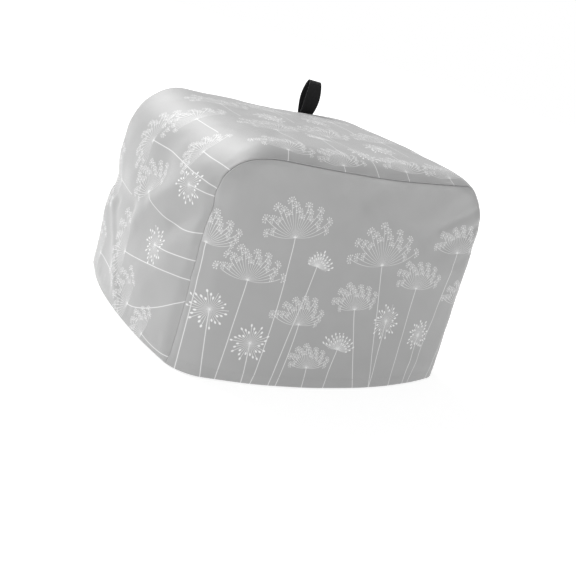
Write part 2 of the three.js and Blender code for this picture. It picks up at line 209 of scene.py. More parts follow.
def read_table(rows, at, column=1):
    """Reads a column of a table, along a smooth curve through its rows"""
    last = len(rows) - 1
    first = next((i for i in range(last) if at <= rows[i + 1][0]), last - 1)

    def slope(index):
        before, after = rows[max(index - 1, 0)], rows[min(index + 1, last)]
        return (after[column] - before[column]) / (after[0] - before[0])

    span = rows[first + 1][0] - rows[first][0]
    rise = rows[first + 1][column] - rows[first][column]
    part = clamp((at - rows[first][0]) / span)
    bend_in = (slope(first) * span - rise) * (1 - part)
    bend_out = (slope(first + 1) * span - rise) * part
    return rows[first][column] + part * (rise + (1 - part) * (bend_in - bend_out))


def height_of_top(x):
    part = (x + HALF_LENGTH - LEFT_CORNER) / (LENGTH - LEFT_CORNER - RIGHT_CORNER)
    return TOP_Z + TOP_RISE * ease((part - RISE_FROM) / (1 - RISE_FROM))


LEFT_RUN = TOP_Z - LEFT_CORNER - HEM_Z
RIGHT_RUN = TOP_Z + TOP_RISE - RIGHT_CORNER - HEM_Z
TOP_RUN = LENGTH - LEFT_CORNER - RIGHT_CORNER
RUNS = [LEFT_RUN, LEFT_CORNER * pi / 2, TOP_RUN, RIGHT_CORNER * pi / 2, RIGHT_RUN]


def length_at(place):
    """How far along the band a place is, from the hem at the left end"""
    whole = min(max(int(place), 0), 4)
    return sum(RUNS[:whole]) + RUNS[whole] * (place - whole)


def outline_at(place):
    """A point of the band's outline seen from the front: x, z and its outward direction. Places
    run from 0 at the left hem over 1 and 2 at the left corner, 3 and 4 at the right one, to 5"""
    left_top = TOP_Z - LEFT_CORNER
    right_top = TOP_Z + TOP_RISE - RIGHT_CORNER
    if place < 1:
        return -HALF_LENGTH, HEM_Z + LEFT_RUN * place, -1.0, 0.0
    if place < 2:
        turn = (place - 1) * pi / 2
        out_x, out_z = -cos(turn), sin(turn)
        return -HALF_LENGTH + LEFT_CORNER * (1 + out_x), left_top + LEFT_CORNER * out_z, out_x, out_z
    if place <= 3:
        x = -HALF_LENGTH + LEFT_CORNER + (place - 2) * TOP_RUN
        return x, height_of_top(x), 0.0, 1.0
    if place < 4:
        turn = (4 - place) * pi / 2
        out_x, out_z = cos(turn), sin(turn)
        return HALF_LENGTH + RIGHT_CORNER * (out_x - 1), right_top + RIGHT_CORNER * out_z, out_x, out_z
    return HALF_LENGTH, right_top - RIGHT_RUN * (place - 4), 1.0, 0.0


def drop_at(z):
    return clamp((TOP_Z - z) / (TOP_Z - HEM_Z))


def depth_at(z, side):
    lean = HANG["front" if side < 0 else "back"]["lean"]
    return HALF_DEPTH + lean * drop_at(z) ** LEAN_START


def rounding_at(outline):
    low = ease(1 - (outline[1] - HEM_Z) / HEM_EDGE_HEIGHT)
    at_side = SIDE_EDGE - TOP_EDGE + (HEM_EDGE - SIDE_EDGE) * low
    return TOP_EDGE + at_side * abs(outline[2])


def distance_to_line(spot, start, end):
    run_x, run_y = end[0] - start[0], end[1] - start[1]
    gone_x, gone_y = spot[0] - start[0], spot[1] - start[1]
    part = clamp((gone_x * run_x + gone_y * run_y) / (run_x**2 + run_y**2))
    return hypot(gone_x - part * run_x, gone_y - part * run_y)


def belly_of(wall, across, z):
    return wall["belly"] * (1 - clamp(across) ** BELLY_FULLNESS) * drop_at(z) ** wall["start"]


def crown_at(point):
    across = clamp(1 - (point.y / CROWN_SPAN["y"]) ** 2)
    high = ease((point.z + CROWN_SPAN["below"]) / CROWN_SPAN["over"])
    return TOP_CROWN * swelling((point.x - CROWN_AT) / CROWN_SPAN["x"]) * across * high


def hang(point):
    """Lets the plain form hang: its walls belly out, its top swells and it takes its folds"""
    x, y, z = point
    side = -1 if y < 0 else 1
    end = HANG["left" if x < 0 else "right"]
    face = HANG["front" if y < 0 else "back"]
    out_x = belly_of(end, abs(y) / depth_at(z, side), z) * ease(abs(x) / BELLY_REACH["x"])
    out_y = belly_of(face, abs(x) / HALF_LENGTH, z) * ease(abs(y) / BELLY_REACH["y"])
    hung = Vector((x + (out_x if x > 0 else -out_x), y + side * out_y, z + crown_at(point)))
    over_hem = clamp((z - HEM_Z) / HEM_TURN)
    for wall, start, end_point, reach, swell in FOLDS + CREASES:
        out, across, up, near = WALLS[wall]
        on_wall = ease((point.dot(out) - near) / WALL_FADE)
        if on_wall > 0:
            away = distance_to_line((point.dot(across), point.dot(up)), start, end_point) / reach
            hung += Vector(out) * (swell * exp(-away * away) * on_wall * over_hem)
    return hung


def way_out(outline, side, angle):
    """The way out of the rounded edge between band and panel, at an angle round it"""
    return Vector((outline[2] * cos(angle), side * sin(angle), outline[3] * cos(angle)))


def edge_point(outline, side, angle, inset):
    """A point of that rounded edge"""
    x, z, out_x, out_z = outline
    rounding = rounding_at(outline)
    centre_z = z - out_z * rounding
    centre = Vector((x - out_x * rounding, side * (depth_at(centre_z, side) - rounding), centre_z))
    return centre + way_out(outline, side, angle) * (rounding - inset)


class Seam:
    """One seam at one place: how the band rolls over to it and where the panel starts"""

    def __init__(self, table, side, place):
        self.side = side
        self.outline = outline_at(place)
        self.round = rounding_at(self.outline)
        angle, crease = radians(read_table(table, place)), radians(read_table(table, place, 2))
        end = angle - crease
        self.radius = self.round * (1 - cos(angle)) / (1 - cos(end))
        self.back = self.radius * sin(end) - self.round * sin(angle)
        self.end = end - SEAM_GAP / 2 / self.radius
        self.start = angle + SEAM_GAP / 2 / self.round
        self.between = (end + angle) / 2
        self.arc = self.radius * self.end
        self.on_edge = self.round * (pi / 2 - self.start)
        self.strip = self.on_edge + PANEL_MARGIN

    def band(self, from_seam, inset):
        """A point of the band's rolled edge"""
        centre = edge_point(self.outline, self.side, 0, 0)
        centre.y -= self.side * self.back
        centre -= way_out(self.outline, self.side, 0) * self.radius
        angle = self.end - from_seam / self.radius
        return centre + way_out(self.outline, self.side, angle) * (self.radius - inset)

    def panel(self, from_seam, inset):
        """A point of the panel beside the seam"""
        if from_seam < self.on_edge:
            return edge_point(self.outline, self.side, self.start + from_seam / self.round, inset)
        x, z, out_x, out_z = self.outline
        inwards = self.round + from_seam - self.on_edge
        flat_x, flat_z = x - out_x * inwards, z - out_z * inwards
        return Vector((flat_x, self.side * (depth_at(flat_z, self.side) - inset), flat_z))

    def panel_cut(self, from_seam):
        """Where a point of the panel lies on its flat cut"""
        x, z, out_x, out_z = self.outline
        out = self.strip - from_seam - self.round - PANEL_MARGIN
        return Vector((x + out_x * out, z + out_z * out, 0))

    def turned_in(self, point, surface_angle, inset):
        """Moves a point of the cloth in to the seam's allowance"""
        share = clamp(inset / SEAM_FOLD)
        angle = surface_angle + (self.between - surface_angle) * share
        return point - way_out(self.outline, self.side, angle) * inset


class BandRow:
    """One row of the band, from the front seam to the back one"""

    def __init__(self, place, hem_inset):
        self.place = place
        self.hem_inset = hem_inset
        self.front = Seam(FRONT_SEAM, -1, place)
        self.back = Seam(BACK_SEAM, 1, place)
        self.near = self.front.band(self.front.arc, hem_inset)
        self.far = self.back.band(self.back.arc, hem_inset)
        self.flat = (self.far - self.near).length
        self.width = self.front.arc + self.flat + self.back.arc

    def point(self, from_front, inset=0.0):
        """A point of the band's cut, laid on the shape: its way from the front seam"""
        from_back = self.width - from_front
        hem = self.hem_inset
        if from_front < self.front.arc:
            seam, point = self.front, self.front.band(from_front, hem)
        elif from_back < self.back.arc:
            seam, point = self.back, self.back.band(from_back, hem)
        else:
            return self.near.lerp(self.far, (from_front - self.front.arc) / self.flat)
        return seam.turned_in(point, seam.end, inset) if inset > hem else point


class PanelRow:
    """One row of a panel beside its seam"""

    def __init__(self, table, side, place, hem_inset):
        self.hem_inset = hem_inset
        self.seam = Seam(table, side, place)
        self.width = self.seam.strip

    def point(self, from_seam, inset=0.0):
        point = self.seam.panel(from_seam, self.hem_inset)
        return self.seam.turned_in(point, self.seam.start, inset) if inset > self.hem_inset else point


# Rows and columns of the cloth


def hem_rows():
    """Height and inset of each row from the turned-up edge inside, down and round the fold"""
    inside = [(height, 2 * HEM_FOLD) for height in HEM_INSIDE]
    fold = [pi * (1 - i / HEM_FOLD_STEPS) for i in range(HEM_FOLD_STEPS + 1)]
    return inside + [(HEM_FOLD * (1 - sin(turn)), HEM_FOLD * (1 - cos(turn))) for turn in fold]


def side_rows(run):
    """The rows of one end, as parts of its run, with their insets"""
    turned = [(height / run, inset) for height, inset in hem_rows()]
    climb = run - FIRST_ROW
    count = round(climb / CELL)
    return turned + [((FIRST_ROW + climb * i / count) / run, 0.0) for i in range(count + 1)]


def stations():
    """Place and inset of every row round the outline, from the left hem to the right one, how
    many rows come before the top, and how many cells the top has"""
    left = side_rows(LEFT_RUN)
    right = [(5 - part, inset) for part, inset in reversed(side_rows(RIGHT_RUN))]
    corner = round(RUNS[1] / CELL)
    top = round(RUNS[2] / CELL)
    rows = left + [(1 + i / corner, 0.0) for i in range(1, corner + 1)]
    rows += [(2 + i / top, 0.0) for i in range(1, top + 1)]
    rows += [(3 + i / corner, 0.0) for i in range(1, corner)]
    return rows + right, len(left) + corner - 1, top


def seam_columns():
    """Way from the seam and inset of the columns that turn in to it, from inside to outside"""
    inside = [(0.0, inset) for inset in SEAM_INSIDE]
    turns = [pi / 2 * i / SEAM_FOLD_STEPS for i in range(1, SEAM_FOLD_STEPS + 1)]
    turned = [(SEAM_FOLD * (1 - cos(turn)), SEAM_FOLD * (1 - sin(turn))) for turn in turns]
    return inside + turned + [(way, 0.0) for way in SEAM_OUTSIDE]


STATIONS, CLIMB, TOP_COLUMNS = stations()
HEM_ROWS = len(hem_rows())
SEAM_COLUMNS = seam_columns()
PRINT_LAYERS = ("head", "fan", "tips", "floret_a", "floret_b", "stem_a", "stem_b")


def grid_of_cloth(mesh, rows, columns, position):
    """A grid of cells moved to its shape; position gives point, cut and way from the seam"""
    cut_layer = mesh.verts.layers.float_vector["cut"]
    seam_layer = mesh.verts.layers.float["from_seam"]
    made = bmesh.ops.create_grid(mesh, x_segments=columns - 1, y_segments=rows - 1, size=1)
    for vert in made["verts"]:
        column = round((vert.co.x + 1) / 2 * (columns - 1))
        row = round((vert.co.y + 1) / 2 * (rows - 1))
        point, cut, from_seam = position(row, column)
        vert.co = hang(point)
        vert[cut_layer] = cut
        vert[seam_layer] = from_seam


def new_cloth_mesh():
    """An empty mesh that keeps each point's place on its cut and what is printed near it"""
    mesh = bmesh.new()
    mesh.verts.layers.float_vector.new("cut")
    mesh.verts.layers.float.new("from_seam")
    for name in PRINT_LAYERS:
        mesh.loops.layers.float_vector.new(name)
    return mesh


def unevenness(kind, spot):
    return noise.noise(spot / kind["size"] + Vector(kind["shift"])) * kind["height"]


def roughen(mesh):
    """Small unevenness of hanging cloth: soft waves, puckers beside the seams, gathers at the hem"""
    cut_layer = mesh.verts.layers.float_vector["cut"]
    seam_layer = mesh.verts.layers.float["from_seam"]
    mesh.normal_update()
    moves = []
    for vert in mesh.verts:
        spot, from_seam = vert.co, vert[seam_layer]
        height = spot.z - HEM_Z
        above_hem = (height - HEM_TURN - GATHER_BAND["above"]) / GATHER_BAND["reach"]
        move = unevenness(WAVES, spot) + unevenness(RIPPLES, spot)
        move += unevenness(PUCKERS, vert[cut_layer]) * exp(-from_seam / PUCKER_REACH)
        move += unevenness(GATHERS, Vector((spot.x, spot.y, 0))) * exp(-above_hem * above_hem)
        low = ease((height - HEM_FOLD) / HEM_CALM["height"])
        free = ease((from_seam - SEAM_FOLD) / SEAM_CALM) * (HEM_CALM["share"] * (1 - low) + low)
        moves.append(free * move)
    for vert, move in zip(mesh.verts, moves):
        vert.co += vert.normal * move


def make_band():
    """The long band, from its front seam to its back one and from hem to hem"""
    mesh = new_cloth_mesh()
    band_rows = [BandRow(place, hem_inset) for place, hem_inset in STATIONS]
    start = SEAM_COLUMNS[-1][0]
    middle = round((band_rows[len(band_rows) // 2].width - 2 * start) / CELL)
    turned = len(SEAM_COLUMNS)
    columns = 2 * turned + middle - 1

    def position(row, column):
        here = band_rows[row]
        width = here.width
        if column < turned:
            from_front, inset = SEAM_COLUMNS[column]
        elif column >= columns - turned:
            from_back, inset = SEAM_COLUMNS[columns - 1 - column]
            from_front = width - from_back
        else:
            from_front = start + (width - 2 * start) * (column - turned + 1) / middle
            inset = 0.0
        from_seam = min(from_front, width - from_front) - inset
        cut = Vector((length_at(here.place), from_front - inset, 0))
        return here.point(from_front, inset), cut, from_seam

    grid_of_cloth(mesh, len(STATIONS), columns, position)
    bmesh.ops.reverse_faces(mesh, faces=mesh.faces)
    return mesh


def make_panel(side, table):
    """A panel: a strip beside its seam all round, and a middle that fills it"""
    mesh = new_cloth_mesh()
    turned = len(SEAM_COLUMNS)
    columns = turned + STRIP_CELLS
    last = len(STATIONS) - 1
    start = SEAM_COLUMNS[-1][0]
    panel_rows = [PanelRow(table, side, place, hem_inset) for place, hem_inset in STATIONS]

    def strip(row, column):
        here = panel_rows[row]
        if column < turned:
            from_seam, inset = SEAM_COLUMNS[column]
        else:
            from_seam = start + (here.width - start) * (column - turned + 1) / STRIP_CELLS
            inset = 0.0
        return here.point(from_seam, inset), here.seam.panel_cut(from_seam), from_seam - inset

    def middle(row, column):
        part = column / TOP_COLUMNS
        left, left_cut, from_left = strip(row, columns - 1)
        right, right_cut, _ = strip(last - row, columns - 1)
        top, top_cut, _ = strip(CLIMB + column, columns - 1)
        start_point, start_cut, _ = strip(CLIMB, columns - 1)
        end_point, end_cut, _ = strip(last - CLIMB, columns - 1)
        share = max(row - HEM_ROWS, 0) / (CLIMB - HEM_ROWS)
        point = left.lerp(right, part) + (top - start_point.lerp(end_point, part)) * share
        cut = left_cut.lerp(right_cut, part) + (top_cut - start_cut.lerp(end_cut, part)) * share
        point.y = side * (depth_at(point.z, side) - STATIONS[row][1])
        inner = min(column, TOP_COLUMNS - column, CLIMB - row)
        return point, cut, from_left + inner * CELL

    grid_of_cloth(mesh, last + 1, columns, strip)
    grid_of_cloth(mesh, CLIMB + 1, TOP_COLUMNS + 1, middle)
    bmesh.ops.remove_doubles(mesh, verts=mesh.verts, dist=MERGE)
    bmesh.ops.recalc_face_normals(mesh, faces=mesh.faces)
    if sum((face.normal.y * face.calc_area() for face in mesh.faces)) * side < 0:
        bmesh.ops.reverse_faces(mesh, faces=mesh.faces)
    return mesh


# The print

# Kinds of flower head: number of rays, half spread in degrees, how much the rays bend, reach of
# the shortest ray beside the longest, and the size of the bud at each tip
KINDS = {
    "umbel": dict(rays=20, spread=79, bend=0.28, shortest=0.52, bud=0.0),
    "burst": dict(rays=31, spread=180, bend=0.0, shortest=0.48, bud=0.82),
    "dome": dict(rays=33, spread=86, bend=0.24, shortest=0.36, bud=0.76),
}
CREST_DROP = 0.6  # how much the crest is lowered by the bend of the rays
GOLDEN = 0.618034  # sets each head apart from the one before
RAY_STEP = 0.309017  # spreads the lengths of neighbouring rays evenly
RAY_WIDTH = 0.21  # half the width of a printed ray, in millimetres
RAY_FOOT = 0.35  # how much narrower a ray is at its foot
BUD = dict(slender=0.62, edge=0.4)  # a bud's width beside its length, and its soft edge
HEAD_HEART = 0.04  # the dot that the rays spring from, in the head's radius
HEAD_REACH = 1.12  # how far a head is drawn out, in its own radius
HEAD_MARGIN = 10  # how far a head's florets may lie past its radius

# An umbel's floret: its size beside the head's radius, how far it is drawn out, and how the sizes
# vary. Then the parts of a floret, in its own size
FLORET = dict(least=2.0, share=0.056, reach=1.25, largest=1.1, less=0.25)
SPOKES = 10  # all round
SPOKES_TURN = 2.1  # how far its spokes turn from its way out, in radians
SPOKE = dict(half=0.2, edge=0.24, reach=0.85)
SEED = dict(nearest=0.72, spread=0.18, size=0.12)
HEART = dict(size=0.16, edge=0.14)

# Stems: half their width, their soft edge, how they bend and curve, the length of one that is cut
# short, how far below the hem the panels' stems start, and how near a cell has to be
STEM_WIDTH = 0.4
STEM_FEATHER = 0.3
STEM_BEND = 0.45
STEM_CURVE = 1.25
STEM_LEAST = 0.01  # nearer its head than this, as a part of its length, a stem's slope stays as it is
CUT_STEM = 44
STEM_START = 2
STEM_MARGIN = dict(ends=4, sides=8)

# How strong each part is printed, and what a corner holds where nothing is
INK = dict(ray=0.85, spoke=0.7, heart=0.9, floret=0.9, stem=0.75)
NO_HEAD = ((9, 9, 0), (1, 1, 1), (0, 0, 0))
NO_FLORET = (9, 9, 1)
NO_STEM = (99, 0, 0)

# Heads of a panel: kind, x and z of its foot, radius, lean in degrees, foot of its stem
FRONT_HEADS = [
    ("umbel", -152, -87, 31, -2, -152),
    ("umbel", -75, -70, 38, -8, -90),
    ("umbel", -111, -111, 33, 4, -121),
    ("burst", -138, -140, 18, 0, -133),
    ("burst", -97, -164, 17, 0, -98),
    ("umbel", -54, -144, 29, 0, -66),
    ("dome", -47, -92, 17, 12, -73),
    ("umbel", 26, -85, 44, -8, 40),
    ("umbel", 4, -127, 28, -6, 20),
    ("umbel", 76, -104, 32, 0, 67),
    ("umbel", 122, -66, 33, -6, 96),
    ("burst", 46, -136, 17.5, 0, 40),
    ("burst", 96, -150, 15, 0, 88),
    ("dome", -7, -164, 19, 11, -16),
    ("umbel", -37, -182, 24, 0, -39),
    ("umbel", 146, -118, 29, 0, 128),
]
BACK_HEADS = [
    ("umbel", -122, -62, 32, -5, -112),
    ("umbel", -58, -94, 35, 6, -70),
    ("burst", -92, -138, 16, 0, -90),
    ("dome", -18, -70, 12, 8, -24),
    ("umbel", 16, -112, 28, -10, 22),
    ("umbel", 44, -58, 33, 3, 50),
    ("burst", 70, -112, 15, 0, 66),
    ("umbel", 112, -78, 34, 5, 104),
    ("umbel", 92, -154, 25, -4, 90),
    ("burst", 132, -140, 15, 0, 136),
    ("umbel", -128, -150, 26, 4, -134),
    ("umbel", -40, -164, 22, 8, -50),
    ("dome", 46, -160, 13, -12, 56),
    ("burst", 4, -170, 14, 0, 6),
]


# Heads of the band: the same, measured from the left hem and from the front seam. They grow from
# the front seam towards the back; a stem with no foot is cut short
BAND_HEADS = [
    ("umbel", 119, 94, 34, 50, 118),
    ("burst", 148, 31, 17, 0, 150),
    ("umbel", 160, 122, 36, -8, 157),
    ("umbel", 56, 110, 40, -6, 77),
    ("burst", 83, 60, 17, 0, 94),
    ("umbel", 17, 79, 38, 12, 58),
    ("umbel", 6, 41, 27, 20, 6),
    ("umbel", 177, 42, 26, 0, 176),
    ("umbel", 198, 104, 34, 0, None),
    ("umbel", 104, 176, 34, 0, None),
    ("umbel", 28, 174, 36, 4, None),
    ("umbel", 236, 12, 31, 10, 232),
    ("umbel", 292, 6, 29, -4, 292),
    ("burst", 330, 34, 16, 0, 330),
    ("umbel", 366, 10, 31, 4, 366),
    ("umbel", 420, 8, 30, -6, 422),
    ("umbel", 258, 72, 36, -6, None),
    ("dome", 300, 62, 18, 8, None),
    ("umbel", 326, 88, 37, 6, None),
    ("burst", 372, 66, 17, 0, None),
    ("umbel", 396, 92, 36, -8, None),
    ("dome", 432, 64, 18, 6, None),
    ("umbel", 240, 152, 34, 6, None),
    ("burst", 282, 128, 17, 0, None),
    ("umbel", 306, 166, 36, -4, None),
    ("burst", 350, 150, 17, 0, None),
    ("umbel", 380, 164, 35, 6, None),
    ("umbel", 440, 136, 37, 4, None),
    ("umbel", 466, 40, 34, -6, 462),
    ("burst", 478, 108, 17, 0, 472),
    ("umbel", 490, 160, 36, -6, None),
    ("umbel", 520, 60, 38, 6, 512),
    ("burst", 548, 30, 17, 0, 544),
    ("umbel", 548, 140, 38, -6, 536),
    ("umbel", 584, 84, 38, 6, 570),
    ("umbel", 600, 28, 29, 4, 592),
    ("umbel", 610, 166, 36, -6, 596),
    ("burst", 634, 116, 17, 0, 622),
    ("umbel", 646, 62, 34, 8, 634),
    ("umbel", 654, 176, 28, 0, 648),
]

def stem_at(head, start, spot):
    """Signed way off a stem, how far below its head a spot lies and how long the stem is"""
    _, x, foot, _, lean, base = head
    whole = foot - start
    length = whole + STEM_WIDTH
    if base is None:
        base, length = x, CUT_STEM
    part = (foot - spot[1]) / whole
    bent = radians(lean) * STEM_BEND * whole * part * (1 - part)
    middle = x + (base - x) * part**STEM_CURVE - bent if part > 0 else x
    slope = (base - x) * STEM_CURVE * max(part, STEM_LEAST) ** (STEM_CURVE - 1) / whole
    return (spot[0] - middle) / hypot(1, slope), part * whole, length


def florets_of(number, head):
    """Middle, way out and size of each floret of an umbel, at the tips of its rays"""
    kind, x, foot, radius, lean, _ = head
    shape = KINDS[kind]
    if shape["bud"]:
        return []
    per_radian = shape["rays"] / radians(2 * shape["spread"])
    size = FLORET["least"] + FLORET["share"] * radius
    florets = []
    for ray in range(-(shape["rays"] // 2), shape["rays"] // 2):
        angle = (ray + 0.5) / per_radian
        chance = (ray * RAY_STEP + number * GOLDEN) % 1
        crest = 1 - CREST_DROP * shape["bend"] * cos(angle) ** 2
        tip = (1 - (1 - shape["shortest"]) * chance) * crest
        turned = angle * (1 + shape["bend"] * (1 - tip)) + radians(lean)
        middle = (x + radius * tip * sin(turned), foot + radius * tip * cos(turned))
        florets.append((middle, turned, size * (FLORET["largest"] - FLORET["less"] * chance)))
    return florets


def seen_from(middle, turn, size, cut):
    """How far a spot lies aside and ahead of a middle that is turned, in its own size"""
    over, up = (cut.x - middle[0]) / size, (cut.y - middle[1]) / size
    return over * cos(turn) - up * sin(turn), over * sin(turn) + up * cos(turn)


def on_head(number, head, cut):
    """A spot as seen from a head, how the head's rays fan out, and what their tips are like"""
    kind, x, foot, radius, lean, _ = head
    shape = KINDS[kind]
    spread = radians(shape["spread"])
    place = (*seen_from((x, foot), radians(lean), radius, cut), number * GOLDEN % 1)
    fan = (shape["rays"] / (2 * spread), spread, radius)
    tips = (1 - shape["shortest"], shape["bend"], shape["bud"] / radius)
    return place, fan, tips


def on_floret(floret, cut):
    """A spot as seen from a floret: aside and ahead in its own size, and that size"""
    middle, turned, size = floret
    return *seen_from(middle, turned, size, cut), size


def nearest_head(heads, spot):
    """The number of the head that a spot lies on, or None"""
    away = [hypot(spot.x - x, spot.y - foot) / radius for _, x, foot, radius, _, _ in heads]
    best = min(range(len(heads)), key=away.__getitem__)
    return best if away[best] < HEAD_REACH else None


def nearest_two(found):
    """The two nearest of what was found, filled up with None"""
    nearest = sorted(found, key=lambda pair: pair[0])[:2]
    return [thing for _, thing in nearest] + [None] * (2 - len(nearest))


def nearest_florets(heads, florets, spot):
    near = []
    for head, own_florets in zip(heads, florets):
        _, x, foot, radius, _, _ = head
        if hypot(spot.x - x, spot.y - foot) < radius + HEAD_MARGIN:
            for floret in own_florets:
                middle, _, size = floret
                gap = hypot(spot.x - middle[0], spot.y - middle[1]) / size
                if gap < FLORET["reach"] + CELL / size:
                    near.append((gap, floret))
    return nearest_two(near)


def nearest_stems(heads, stem_start, spot):
    near = []
    for head in heads:
        off, along, length = stem_at(head, stem_start, spot)
        if -STEM_MARGIN["ends"] < along < length + STEM_MARGIN["ends"] and abs(off) < STEM_MARGIN["sides"]:
            near.append((abs(off), head))
    return nearest_two(near)


def print_heads(mesh, heads, stem_start):
    """Gives each cell the place of its corners in the head, the florets and the stems on it"""
    cut_layer = mesh.verts.layers.float_vector["cut"]
    layers = [mesh.loops.layers.float_vector[name] for name in PRINT_LAYERS]
    head_layers, floret_layers, stem_layers = layers[:3], layers[3:5], layers[5:]
    florets = [florets_of(number, head) for number, head in enumerate(heads)]
    for face in mesh.faces:
        corners = [(loop, loop.vert[cut_layer]) for loop in face.loops]
        centre = sum((cut for _, cut in corners), Vector()) / len(corners)
        best = nearest_head(heads, centre)
        near_florets = nearest_florets(heads, florets, centre)
        near_stems = nearest_stems(heads, stem_start, centre)
        for loop, cut in corners:
            places = NO_HEAD if best is None else on_head(best, heads[best], cut)
            for layer, place in zip(head_layers, places):
                loop[layer] = place
            for layer, floret in zip(floret_layers, near_florets):
                loop[layer] = NO_FLORET if floret is None else on_floret(floret, cut)
            for layer, head in zip(stem_layers, near_stems):
                loop[layer] = NO_STEM if head is None else stem_at(head, stem_start, cut)


# Materials

# How light the cloth and its ink are, and how strong the ink shows
PRINTED_SIDE = dict(base=0.355, ink_level=0.84, ink_strength=0.8)
REVERSE_SIDE = dict(base=0.46, ink_level=0.5, ink_strength=0.35)
CLOUDS = dict(scale=0.03, detail=2.0, strength=0.1)
CLOTH_ROUGHNESS = dict(bare=0.46, ink=0.12, clouds=0.06)
WEAVE = dict(pitch=0.5, strength=0.12, depth=0.0003)

RIBBON_TONE = dict(base=0.005, fibre=0.005, ribs=0.002, blue=1.08)
RIBBON_ROUGHNESS = dict(base=0.42, fibre=0.16)
RIBBON_FIBRE = dict(scale=2.0, detail=3.0)
RIBS = dict(pitch=0.9, strength=0.5, depth=0.0003)

THREAD_TONE = dict(base=0.3, twist=0.12)
THREAD_ROUGHNESS = dict(base=0.45, twist=0.2)
THREAD_TWIST = dict(scale=3000.0, detail=1.0)


class Value:
    """A number that changes over the surface; working with it adds the Math nodes"""

    def __init__(self, finish, socket):
        self.finish = finish
        self.socket = socket

    def maths(self, operation, *others, clamped=False):
        return self.finish.maths(operation, self, *others, clamped=clamped)

    def __add__(self, other):
        return self.maths("ADD", other)

    def __sub__(self, other):
        return self.maths("SUBTRACT", other)

    def __rsub__(self, other):
        return self.finish.maths("SUBTRACT", other, self)

    def __mul__(self, other):
        return self.maths("MULTIPLY", other)

    def __truediv__(self, other):
        return self.maths("DIVIDE", other)

    def __rtruediv__(self, other):
        return self.finish.maths("DIVIDE", other, self)

    def __abs__(self):
        return self.maths("ABSOLUTE")

    __radd__ = __add__
    __rmul__ = __mul__


class Finish:
    """The nodes of one material, or of the studio round it, and the shader that they feed"""

    def __init__(self, owner, shader="Principled BSDF", **surface):
        owner.use_nodes = True
        self.owner = owner
        self.tree = owner.node_tree
        self.shader = self.tree.nodes[shader]
        for socket, value in surface.items():
            self.shader.inputs[socket.replace("_", " ")].default_value = value

    def add(self, kind, settings=None, inputs=None, output=0):
        """Any node: its type, its settings, then the values or links of its sockets"""
        node = self.tree.nodes.new(kind)
        for key, value in (settings or {}).items():
            setattr(node, key, value)
        for key, value in (inputs or {}).items():
            if isinstance(value, Value):
                self.tree.links.new(value.socket, node.inputs[key])
            else:
                node.inputs[key].default_value = value
        return Value(self, node.outputs[output])

    def maths(self, operation, *values, clamped=False):
        settings = dict(operation=operation, use_clamp=clamped)
        return self.add("ShaderNodeMath", settings, dict(enumerate(values)))

    def attribute(self, name):
        return self.add("ShaderNodeAttribute", dict(attribute_name=name), output="Vector")

    def parts(self, name):
        """The three numbers that an attribute of the mesh holds"""
        split = self.add("ShaderNodeSeparateXYZ", None, {0: self.attribute(name)})
        return [Value(self, output) for output in split.socket.node.outputs]

    def clouds(self, place, scale, detail):
        return self.add("ShaderNodeTexNoise", None, dict(Vector=place, Scale=scale, Detail=detail))

    def colour(self, *levels):
        return self.add("ShaderNodeCombineColor", None, dict(enumerate(levels)))

    def bump(self, height, strength, depth):
        sockets = dict(Strength=strength, Distance=depth, Height=height)
        return self.add("ShaderNodeBump", None, sockets, "Normal")

    def feed(self, socket, value):
        self.tree.links.new(value.socket, self.shader.inputs[socket])


def grey(level):
    return (level, level, level, 1.0)


def band_of(value, half_width, feather):
    """1 where a value is within half the width of zero, with a soft edge"""
    return ((half_width - abs(value)) / feather).maths("ADD", 0.5, clamped=True)


def distance(aside, ahead):
    return (aside * aside + ahead * ahead).maths("SQRT")


def printed_rays(finish):
    """The rays of a head, and the buds at the tips of those that bear them"""
    over, up, seed = finish.parts("head")
    per_radian, spread, radius = finish.parts("fan")
    shorter, bend, bud = finish.parts("tips")
    out = distance(over, up)
    width = (RAY_FOOT + out).maths("MINIMUM", 1.0) * (RAY_WIDTH / radius)
    opened = 1 + bend * (1 - out)
    spot = over.maths("ARCTAN2", up) / opened * per_radian
    ray = spot.maths("FLOOR")
    at = (ray + 0.5) / per_radian
    level = at.maths("COSINE")
    chance = (ray * RAY_STEP + seed).maths("FRACT")
    tip = (1 - shorter * chance) * (1 - CREST_DROP * bend * level * level)
    across = (spot - ray - 0.5) / per_radian * out * opened
    line = band_of(across, width, width) * (tip - out).maths("GREATER_THAN", 0)
    oval = distance(across, (out - tip) * BUD["slender"])
    buds = band_of(oval, bud, bud * BUD["edge"]) * bud.maths("GREATER_THAN", 0)
    base = band_of(out, HEAD_HEART, HEAD_HEART)
    drawn = (line * INK["ray"]).maths("MAXIMUM", buds).maths("MAXIMUM", base)
    return drawn * (spread - abs(at)).maths("GREATER_THAN", 0)


def printed_floret(finish, name):
    """One floret of an umbel: short spokes with a seed at the end of each"""
    over, up, size = finish.parts(name)
    away = distance(over, up)
    spot = over.maths("ARCTAN2", up) * (SPOKES / (2 * pi))
    spoke = (spot + 0.5).maths("FLOOR")
    aside = (spot - spoke) * (2 * pi / SPOKES) * away
    past = away - (SEED["nearest"] + SEED["spread"] * (spoke * GOLDEN).maths("FRACT"))
    seeds = band_of(distance(past, aside), SEED["size"], SEED["size"])
    line = band_of(aside, SPOKE["half"] / size, SPOKE["edge"] / size)
    spokes = line * (SPOKE["reach"] - away).maths("GREATER_THAN", 0)
    heart = band_of(away, HEART["size"], HEART["edge"])
    opened = (SPOKES_TURN - abs(spoke) * (2 * pi / SPOKES)).maths("GREATER_THAN", 0)
    tuft = seeds.maths("MAXIMUM", spokes * INK["spoke"]) * opened
    return tuft.maths("MAXIMUM", heart * INK["heart"])


